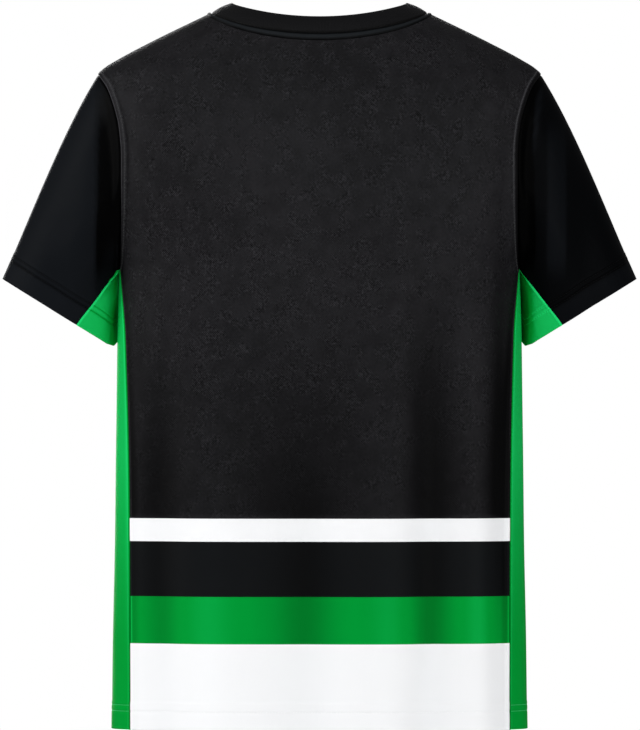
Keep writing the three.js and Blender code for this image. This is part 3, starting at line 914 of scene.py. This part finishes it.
def wall(name, patches, finishes, cell_finish=None):
    """A closed wall of cloth: its patches joined, with a rounded rim along every edge."""

    def gather(value, *width):
        """A value of every patch, one row for each point."""
        return np.concatenate([getattr(patch, value).reshape(-1, *width) for patch in patches])

    outer, inner, normal, form = (gather(value, 3) for value in ("outer", "inner", "normals", "points"))
    cloth = gather("cloth", 2)
    free = gather("hem_height") < TOLERANCE
    tone = gather("tone")
    keys = np.round(form / WELD).astype(np.int64)
    _, first, same = np.unique(keys, axis=0, return_index=True, return_inverse=True)
    same = same.reshape(-1)
    outer, inner, normal, free, tone = (
        values[first] for values in (outer, inner, normal, free, tone)
    )
    cells, finish_of, start = [], [], 0
    for patch in patches:
        columns, rows = patch.points.shape[:2]
        ids = start + np.arange(columns * rows).reshape(columns, rows)
        quads = np.stack([ids[:-1, :-1], ids[1:, :-1], ids[1:, 1:], ids[:-1, 1:]], -1)
        if not patch.faces_out:
            quads = quads[..., ::-1]
        cells.append(quads.reshape(-1, 4))
        centre = (patch.points[1:, 1:] + patch.points[:-1, :-1]) / 2
        picked = cell_finish(centre) if cell_finish else np.zeros(centre.shape[:2], int)
        finish_of.append(picked.reshape(-1))
        start += columns * rows
    corners = np.concatenate(cells)
    finish_of = np.concatenate(finish_of)
    quads = same[corners]
    count = len(outer)
    a = quads.reshape(-1)
    b = np.roll(quads, -1, 1).reshape(-1)
    a_corner = corners.reshape(-1)
    b_corner = np.roll(corners, -1, 1).reshape(-1)
    owner = np.repeat(np.arange(len(quads)), 4)
    open_edge = ~np.isin(a * count + b, b * count + a)
    a, b, a_corner, b_corner, owner = (
        values[open_edge] for values in (a, b, a_corner, b_corner, owner)
    )
    outwards = np.zeros_like(outer)
    side = np.cross(outer[b] - outer[a], normal[a])
    np.add.at(outwards, a, side)
    np.add.at(outwards, b, side)
    rim = np.unique(a)
    rim_id = np.full(count, -1)
    rim_id[rim] = 2 * count + np.arange(len(rim))
    thick = np.linalg.norm(outer[rim] - inner[rim], axis=-1, keepdims=True)
    push = unit(outwards[rim]) * thick * np.where(free[rim], RIM_PUSH, 0)[:, None]
    middle = (outer[rim] + inner[rim]) / 2 + push
    vertices = np.concatenate([outer, inner, middle])
    rims = np.concatenate(
        [
            np.stack([b, a, rim_id[a], rim_id[b]], -1),
            np.stack([rim_id[b], rim_id[a], a + count, b + count], -1),
        ]
    )
    rim_corners = np.stack([b_corner, a_corner, a_corner, b_corner], -1)
    faces = np.concatenate([quads, quads[:, ::-1] + count, rims])
    uv_ids = np.concatenate([corners, corners[:, ::-1], rim_corners, rim_corners])
    face_finish = np.concatenate([finish_of, finish_of, finish_of[owner], finish_of[owner]])
    piece = mesh_piece(name, vertices, faces.tolist(), finishes)
    mesh = piece.data
    layer = mesh.uv_layers.new(name="cloth")
    layer.data.foreach_set("uv", (cloth[uv_ids.reshape(-1)] * MM).astype(np.float32).reshape(-1))
    # The painted highlight and painted shade of the outside, carried to the materials as the "tone"
    # attribute
    painted_shading = mesh.attributes.new("tone", "FLOAT", "POINT")
    painted_shading.data.foreach_set("value", np.concatenate([tone, 0 * tone, tone[rim] / 2]).astype(np.float32))
    mesh.polygons.foreach_set("material_index", face_finish.astype(np.int32))
    mesh.update()
    return piece


def stitch_shape():
    """One stitch: a little arched lozenge, from -1 to 1 along, with its ends let into the cloth."""
    stations = np.array([-1, -0.72, 0, 0.72, 1])
    girth = np.array([0, 0.8, 1, 0.8, 0])
    arch = np.array([-0.6, 0.15, 0.5, 0.15, -0.6])
    sides = STITCH["sides"]
    turn = np.arange(sides) * 2 * math.pi / sides
    points = [[stations[0], 0, arch[0]]]
    for k in (1, 2, 3):
        points += [[stations[k], girth[k] * math.cos(t), arch[k] + girth[k] * math.sin(t)] for t in turn]
    points.append([stations[4], 0, arch[4]])
    last = len(points) - 1
    faces = []
    for k in range(sides):
        n = (k + 1) % sides
        faces.append([0, 1 + n, 1 + k, 1 + k])
        for ring in (0, 1):
            base = 1 + ring * sides
            faces.append([base + k, base + n, base + sides + n, base + sides + k])
        end = 1 + 2 * sides
        faces.append([end + k, end + n, last, last])
    return np.array(points), faces


def thread(name, rows, finish):
    """Rows of stitches, as one mesh. A row is a line of points and their normals."""
    shape, shape_faces = stitch_shape()
    all_points, count = [], 0
    for points, normals in rows:
        along = lengths_along(points)
        number = int(along[-1] // STITCH["pitch"])
        if number < 1:
            continue
        spare = along[-1] - number * STITCH["pitch"]
        at = spare / 2 + (np.arange(number) + 0.5) * STITCH["pitch"]

        def read(values, where):
            return np.stack([np.interp(where, along, values[:, axis]) for axis in range(3)], -1)

        half = STITCH["length"] / 2
        way = unit(read(points, at + half) - read(points, at - half))
        up = unit(read(normals, at))
        side = unit(np.cross(up, way))
        centre = read(points, at)
        placed = (
            centre[:, None]
            + way[:, None] * shape[:, 0, None] * half
            + side[:, None] * shape[:, 1, None] * STITCH["radius"]
            + up[:, None] * shape[:, 2, None] * STITCH["radius"]
        )
        all_points.append(placed.reshape(-1, 3))
        count += number
    vertices = np.concatenate(all_points)
    offsets = np.arange(count) * len(shape)
    faces = [
        [int(offset + corner) for corner in dict.fromkeys(face)]
        for offset in offsets
        for face in shape_faces
    ]
    return mesh_piece(name, vertices, faces, [finish])


def row_beside(patch, seam, gap):
    """The line on a patch's surface that runs a given distance from one of its seams."""
    away = patch.from_seam[seam]
    points, normals = [], []
    for k in range(away.shape[1]):
        column = away[:, k]
        near = int(np.argmin(column))
        if column[near] > gap:
            continue
        past = np.nonzero(column[near:] >= gap)[0]
        if not len(past) or past[0] == 0:
            continue
        i = near + past[0]
        t = (gap - column[i - 1]) / (column[i] - column[i - 1])
        points.append(mix(patch.outer[i - 1, k], patch.outer[i, k], t))
        normals.append(mix(patch.normals[i - 1, k], patch.normals[i, k], t))
    return np.array(points), np.array(normals)


def row_above_hem(patch, height):
    """The line on a patch's surface that runs a given height above its hem."""
    k = int(np.argmin(np.abs(patch.hem_height[0] - height)))
    return patch.outer[:, k], patch.normals[:, k]


# Finishes. A Value is a number or colour in a material, and sums on it add the nodes they need.


class Value:
    """A socket in a material, written as a value in sums."""

    def __init__(self, finish, socket):
        self.finish = finish
        self.socket = socket

    def __add__(self, other):
        return self.finish.math("ADD", self, other)

    def __radd__(self, other):
        return self.finish.math("ADD", other, self)

    def __sub__(self, other):
        return self.finish.math("SUBTRACT", self, other)

    def __rsub__(self, other):
        return self.finish.math("SUBTRACT", other, self)

    def __mul__(self, other):
        return self.finish.math("MULTIPLY", self, other)

    def __rmul__(self, other):
        return self.finish.math("MULTIPLY", other, self)


class Finish:
    """A material that is built up node by node."""

    def __init__(self, name, roughness, specular):
        self.material = bpy.data.materials.new(name)
        self.material.use_nodes = True
        self.tree = self.material.node_tree
        self.tree.nodes.clear()
        self.shader = self.tree.nodes.new("ShaderNodeBsdfPrincipled")
        output = self.tree.nodes.new("ShaderNodeOutputMaterial")
        self.tree.links.new(self.shader.outputs["BSDF"], output.inputs["Surface"])
        self.shader.inputs["Roughness"].default_value = roughness
        self.shader.inputs["Specular IOR Level"].default_value = specular

    def node(self, kind, settings, inputs, output=0):
        """Any node: its settings first, then the values or links of its sockets."""
        node = self.tree.nodes.new(kind)
        for name, value in settings.items():
            setattr(node, name, value)
        for name, value in inputs.items():
            self.feed(node.inputs[name], value)
        return Value(self, node.outputs[output])

    def feed(self, socket, value):
        if isinstance(value, Value):
            self.tree.links.new(value.socket, socket)
        else:
            socket.default_value = value

    def math(self, operation, first, second=0.0):
        return self.node("ShaderNodeMath", {"operation": operation}, {0: first, 1: second})

    def step(self, value, low, high):
        """A soft step from 0 to 1 between two values."""
        return self.node(
            "ShaderNodeMapRange",
            {"interpolation_type": "SMOOTHSTEP"},
            {"Value": value, "From Min": low, "From Max": high},
        )

    def blend(self, share, first, second):
        """A colour between two colours."""
        return self.node(
            "ShaderNodeMix",
            {"data_type": "RGBA", "clamp_factor": True},
            {0: share, 6: first, 7: second},
            2,
        )

    def cloth_place(self):
        """Millimetres across and up the flat cloth."""
        place = self.node("ShaderNodeUVMap", {"uv_map": "cloth"}, {})
        split = self.tree.nodes.new("ShaderNodeSeparateXYZ")
        self.feed(split.inputs[0], place)
        return Value(self, split.outputs[0]) * 1000, Value(self, split.outputs[1]) * 1000

    def noise(self, scale, detail=3.0):
        """Cloudy variation, in the object's own space."""
        place = self.node("ShaderNodeTexCoord", {}, {}, "Object")
        return self.node(
            "ShaderNodeTexNoise", {}, {"Vector": place, "Scale": scale, "Detail": detail}, "Fac"
        )

    def painted_shading(self, colour, lighter, darker):
        """The colour with the painted highlight and painted shade of the "tone" attribute: lighter on
        raised cloth and ridges, darker in seams, stitch rows and folds, and lighter or darker by piece and
        level.
        """
        tone = self.node("ShaderNodeAttribute", {"attribute_name": "tone"}, {}, "Fac")
        raised = self.blend(self.step(tone, 0.0, 1.0), colour, lighter)
        return self.blend(self.step(tone, 0.0, -1.0), raised, darker)

    def wave(self, value, pitch):
        """A cosine with a given pitch."""
        return self.math("COSINE", value * (2 * math.pi / pitch))

    def colour(self, value):
        self.feed(self.shader.inputs["Base Color"], value)

    def bump(self, height, distance, strength):
        """Relief too fine for the mesh, its distance in metres."""
        relief = {"Strength": strength, "Distance": distance, "Height": height}
        bumped = self.node("ShaderNodeBump", {}, relief)
        self.feed(self.shader.inputs["Normal"], bumped)


def shade(colour, share):
    """A colour made darker or lighter."""
    return (colour[0] * share, colour[1] * share, colour[2] * share, 1.0)


BLACK_MESH = (0.0103, 0.0101, 0.0112)
BLACK_KNIT = (0.0034, 0.0040, 0.0050)
BLACK_PRINT = (0.0038, 0.0044, 0.0050)
BLACK_RIB = (0.0058, 0.0058, 0.0064)
GREEN_KNIT = (0.0000, 0.2800, 0.0310)
# Painted highlight and painted shade colours of the green knit
GREEN_KNIT_LIT = (0.0120, 0.6200, 0.1500, 1.0)
GREEN_KNIT_SHADED = (0.0000, 0.1200, 0.0120, 1.0)
GREEN_THREAD = (0.0700, 0.6000, 0.2200)
SEAM_THREAD = (0.0450, 0.0480, 0.0470)
WHITE_KNIT = (0.8500, 0.8550, 0.8650)
# Painted highlight and painted shade colours of the white knit
WHITE_KNIT_LIT = (0.9200, 0.9250, 0.9300, 1.0)
WHITE_KNIT_SHADED = (0.7900, 0.8000, 0.8100, 1.0)
MESH_PITCH = 2.3
WALE_PITCH = 0.85
COURSE_PITCH = 0.7
RIB_PITCH = 1.5


def mesh_finish(name, colour):
    """Bird's-eye mesh: small staggered eyes in painted shade between threads with painted highlights where
    they catch the light unevenly, over a random patchy tone.
    """
    finish = Finish(name, roughness=0.5, specular=0.03)
    across, up = finish.cloth_place()
    eyes = finish.wave(across, MESH_PITCH) * finish.wave(up, MESH_PITCH)
    clear = finish.step(finish.noise(70.0), 0.4, 0.64)
    grain = finish.noise(430.0) - 0.5
    height = (eyes * 0.45 + grain * 2.7) * (clear * 0.8 + 0.2)
    patchy = finish.noise(9.0) * 0.5 + finish.noise(65.0) * 0.5
    plain = finish.blend(finish.step(patchy, 0.36, 0.64), shade(colour, 0.8), shade(colour, 1.2))
    # Painted shade in the eyes and painted highlight on the threads
    deep = finish.step(height, -0.1, 0.9)
    lit = finish.step(height, 0.1, -0.9)
    threads = finish.blend(lit, plain, shade(colour, 2.5))
    knitted = finish.blend(deep, threads, shade(colour, 0.15))
    finish.colour(finish.painted_shading(knitted, shade(colour, 4.5), shade(colour, 0.12)))
    finish.bump(0.0 - height, 0.0004, 0.35)
    return finish.material


def knit_finish(name, colour, lighter, darker, roughness, specular, variation):
    """Smooth knit: fine upright wales and level courses."""
    finish = Finish(name, roughness, specular)
    across, up = finish.cloth_place()
    loops = finish.wave(across, WALE_PITCH) * 0.6 + finish.wave(up, COURSE_PITCH) * 0.4
    cloudy = finish.noise(14.0, 4.0)
    plain = finish.blend(cloudy, shade(colour, 1 - variation), shade(colour, 1 + variation))
    # Painted shade between the knit's loops
    plain = finish.blend(finish.step(loops, 0.1, -0.9) * 0.25, plain, shade(colour, 0.7))
    finish.colour(finish.painted_shading(plain, lighter, darker))
    finish.bump(loops, 0.00012, 0.35)
    return finish.material


def rib_finish(name, colour):
    """One-by-one rib, its ribs upright across the band."""
    finish = Finish(name, roughness=0.5, specular=0.06)
    across, up = finish.cloth_place()
    ribs = finish.wave(across, RIB_PITCH)
    courses = finish.wave(up + across * 0.2, COURSE_PITCH)
    cloudy = finish.noise(20.0)
    plain = finish.blend(cloudy, shade(colour, 0.9), shade(colour, 1.15))
    # Painted shade in the rib's hollows
    plain = finish.blend(finish.step(ribs, 0.1, -0.9) * 0.35, plain, shade(colour, 0.5))
    finish.colour(finish.painted_shading(plain, shade(colour, 2.5), shade(colour, 0.15)))
    finish.bump(ribs + courses * 0.15, 0.0003, 0.4)
    return finish.material


def thread_finish(name, colour):
    """Twisted sewing thread."""
    finish = Finish(name, roughness=0.5, specular=0.08)
    cloudy = finish.noise(900.0, 1.0)
    finish.colour(finish.blend(cloudy, shade(colour, 0.8), shade(colour, 1.25)))
    return finish.material


# The jersey's pieces

panels = {(panel, side): panel_patch(panel, side) for panel in NECK for side in SIDES}
side_panels = {side: side_patch(side) for side in SIDES}
sleeves = {side: sleeve_patches(side) for side in SIDES}
collar = collar_patch()
sleeve_pieces = [patch for pair in sleeves.values() for patch in pair]
share_normals([*panels.values(), *side_panels.values(), *sleeve_pieces, collar])

SIDE_EDGES = {"front": PANEL_PIPE, "back": PANEL_PIPE, "underarm": PLAIN}
SLEEVE_EDGES = {"armhole": SLEEVE_SEAM, "first": PLAIN, "last": PLAIN}
GUSSET_EDGES = {"armhole": PLAIN, "first": GUSSET_PIPE, "last": GUSSET_PIPE}
for (panel, side), patch in panels.items():
    edges = {"side": SIDE_BAND, "armhole": ARMHOLE_BANDS[side], "neck": PLAIN, "shoulder": PRESSED}
    finish_patch(patch, edges, panel, CLOTH)
for patch in side_panels.values():
    finish_patch(patch, SIDE_EDGES, "side", CLOTH)
for side, (sleeve, gusset) in sleeves.items():
    finish_patch(sleeve, SLEEVE_EDGES, f"{side} sleeve", CLOTH)
    finish_patch(gusset, GUSSET_EDGES, f"{side} gusset", CLOTH)
finish_patch(collar, {"neck": NECK_SEAM}, "collar", RIB)

# Each knit: its colour, its painted highlight and painted shade colours, its roughness, its specular level
# and how much its colour varies
white = knit_finish("white_knit", WHITE_KNIT, WHITE_KNIT_LIT, WHITE_KNIT_SHADED, 0.6, 0.04, 0.01)
green = knit_finish("green_knit", GREEN_KNIT, GREEN_KNIT_LIT, GREEN_KNIT_SHADED, 0.5, 0.01, 0.05)
# Painted highlight and painted shade colours of the black knits
knit_tones = [shade(BLACK_KNIT, share) for share in (5, 0.05)]
black = knit_finish("black_knit", BLACK_KNIT, *knit_tones, 0.45, 0.015, 0.1)
print_tones = [shade(BLACK_PRINT, share) for share in (3, 0.15)]
black_band = knit_finish("black_print", BLACK_PRINT, *print_tones, 0.45, 0.035, 0.1)
mesh_black = mesh_finish("black_mesh", BLACK_MESH)
rib_black = rib_finish("black_rib", BLACK_RIB)
band_finishes = [mesh_black, white, black_band, green]
BAND_INDEX = {"mesh": 0, "white": 1, "black": 2, "green": 3}


def band_of(centres):
    """Which printed band each cell of a panel lies in."""
    z = centres[..., 2]
    index = np.zeros(z.shape, int)
    for band in reversed(BANDS):
        index = np.where(z < band["top"], BAND_INDEX[band["finish"]], index)
    return index


def place_piece(piece, node):
    """Hides the CAD part that a cloth piece stands for, and hangs the piece from the root."""
    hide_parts(node)
    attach(piece, "root")


for panel in NECK:
    halves = [panels[panel, side] for side in SIDES]
    piece = wall(f"{panel}_of_jersey", halves, band_finishes, band_of)
    place_piece(piece, f"{panel}_panel")
for side in SIDES:
    piece = wall(f"{side}_side_panel", [side_panels[side]], [green])
    place_piece(piece, f"side_panel_{side}")
    piece = wall(f"{side}_sleeve", [sleeves[side][0]], [black])
    place_piece(piece, f"sleeve_{side}")
    piece = wall(f"{side}_underarm_gusset", [sleeves[side][1]], [green])
    place_piece(piece, f"sleeve_gusset_{side}")
piece = wall("neck_rib", [collar], [rib_black])
place_piece(piece, "collar")


def neck_welt(panel):
    """The raised band on a panel under the collar seam, as a patch that lies on the panel."""
    angle, z = neck_places(panel, np.linspace(0, 1, WELT_COLUMNS))
    sign = 1 if panel == "back" else -1
    angle = np.concatenate([angle[::-1][:-1], math.pi - angle])
    z = np.concatenate([z[::-1][:-1], z])
    seam = body_point(sign * angle, z)
    normal = body_normal(sign * angle, z)
    along = unit(np.gradient(seam, axis=0))
    down = np.cross(along, normal)
    down = down * -np.sign(down[:, 2])[:, None]
    middle = np.abs(np.sin(angle)) ** 2
    width = mix(WELT["side"], WELT["middle"], middle)
    across = np.linspace(0, 1, WELT_ROWS)
    offset = WELT["starts"] + width[:, None] * across
    rough = seam[:, None] + down[:, None] * offset[..., None]
    level = np.minimum(rough[..., 2], -0.01)
    round_angle = angle_at(rough[..., 0], level)
    points = body_point(sign * round_angle, level)
    cloth = np.stack(np.broadcast_arrays(lengths_along(seam)[:, None], offset), -1)
    patch = Patch(points, cloth, np.array([0, 0, points[..., 2].mean()]))
    share_normals([patch])
    height = WELT["height"] * np.sin(math.pi * across) ** WELT["roundness"]
    uneven = 1 + 0.12 * np.sin(cloth[..., 0] / 3.1) + 0.1 * np.sin(cloth[..., 0] / 7.7 + 1)
    patch.outer = points + patch.normals * (height * uneven)[..., None]
    patch.inner = points - patch.normals * WELT["under"]
    shares, tones = zip(*WELT_TONE)
    patch.tone = np.broadcast_to(np.interp(across, shares, tones), offset.shape)
    return patch


welts = {panel: neck_welt(panel) for panel in NECK}
for panel, patch in welts.items():
    piece = wall(f"{panel}_neck_welt", [patch], [black_band])
    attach(piece, "root")


def hem_rows(patches):
    return [row_above_hem(patch, height) for patch in patches for height, tone in patch.hem["rows"]]


band_rows = [
    row_beside(patch, "armhole", ARMHOLE_BANDS[side]["stitch"])
    for (panel, side), patch in panels.items()
]
sleeve_rows = hem_rows(sleeve for sleeve, gusset in sleeves.values())
gusset_rows = hem_rows(gusset for sleeve, gusset in sleeves.values())
THREADS = [
    ("armhole_stitches", band_rows, SEAM_THREAD, "back_mesh"),
    ("black_stitches", sleeve_rows, BLACK_KNIT, "sleeve_knit"),
    ("green_stitches", gusset_rows, GREEN_KNIT, "green_knit"),
    ("pale_green_stitches", hem_rows(side_panels.values()), GREEN_THREAD, "green_knit"),
    ("white_stitches", hem_rows(panels.values()), WHITE_KNIT, "back_mesh"),
]
for name, rows, colour, slot in THREADS:
    piece = thread(name, rows, thread_finish(f"{name}_thread", colour))
    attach(piece, "root")


# Floor, light and camera, placed in metres

LIT_MIDDLE = (0, 0, -0.35)
LIGHTS = named(
    "name place size power",
    ("key_light", (1.65, 2.35, 2.5), 1.6, 28),
    ("side_light", (3.4, 0.4, 0.8), 1.4, 69),
    ("broad_light", (0.3, 3.3, 0.8), 2.0, 46),
    ("fill_light", (-2.6, 2.4, 0.2), 2.2, 52),
    ("front_light", (0.5, -3.4, 0.1), 2.0, 70),
)


def studio_floor():
    """A pale round floor, well below the hem."""
    finish = Finish("studio_floor", roughness=0.8, specular=0.2)
    finish.colour((0.85, 0.85, 0.86, 1.0))
    bpy.ops.mesh.primitive_circle_add(vertices=96, radius=3.2, fill_type="NGON", location=(0, 0, -1.35))
    floor = bpy.context.object
    floor.name = "studio_floor"
    floor.data.materials.append(finish.material)


def soft_light(name, place, size, power):
    """A square soft box that faces the middle of the jersey."""
    light = bpy.data.lights.new(name, "AREA")
    light.size = size
    light.energy = power
    lamp = bpy.data.objects.new(name, light)
    bpy.context.scene.collection.objects.link(lamp)
    lamp.location = place
    way = np.array(LIT_MIDDLE) - np.array(place)
    lamp.rotation_euler = Vector(way).to_track_quat("-Z", "Y").to_euler()


def studio_light():
    """A large key from the upper left of the picture, a weaker fill, and an even pale surround."""
    for lamp in LIGHTS:
        soft_light(**lamp)
    world = bpy.data.worlds.new("studio")
    bpy.context.scene.world = world
    world.use_nodes = True
    nodes, links = world.node_tree.nodes, world.node_tree.links
    background = nodes["Background"]
    background.inputs["Color"].default_value = (1.0, 1.0, 1.0, 1.0)
    seen = nodes.new("ShaderNodeLightPath").outputs["Is Camera Ray"]
    strength = nodes.new("ShaderNodeMapRange")
    strength.inputs["To Min"].default_value = SURROUND_LIGHT
    links.new(seen, strength.inputs["Value"])
    links.new(strength.outputs["Result"], background.inputs["Strength"])
    bpy.context.scene.view_settings.view_transform = "Standard"


def camera():
    """The photograph's camera: level, behind the jersey, with a long lens."""
    data = bpy.data.cameras.new("camera")
    data.lens = LENS
    data.sensor_width = SENSOR
    eye = bpy.data.objects.new("camera", data)
    bpy.context.scene.collection.objects.link(eye)
    distance = PHOTO_HEIGHT * LENS / SENSOR
    eye.location = (CAMERA_AIM + np.array([0, distance, 0])) * MM
    eye.rotation_euler = (math.pi / 2, 0, math.pi)
    data.clip_end = 100
    bpy.context.scene.camera = eye


studio_floor()
studio_light()
camera()
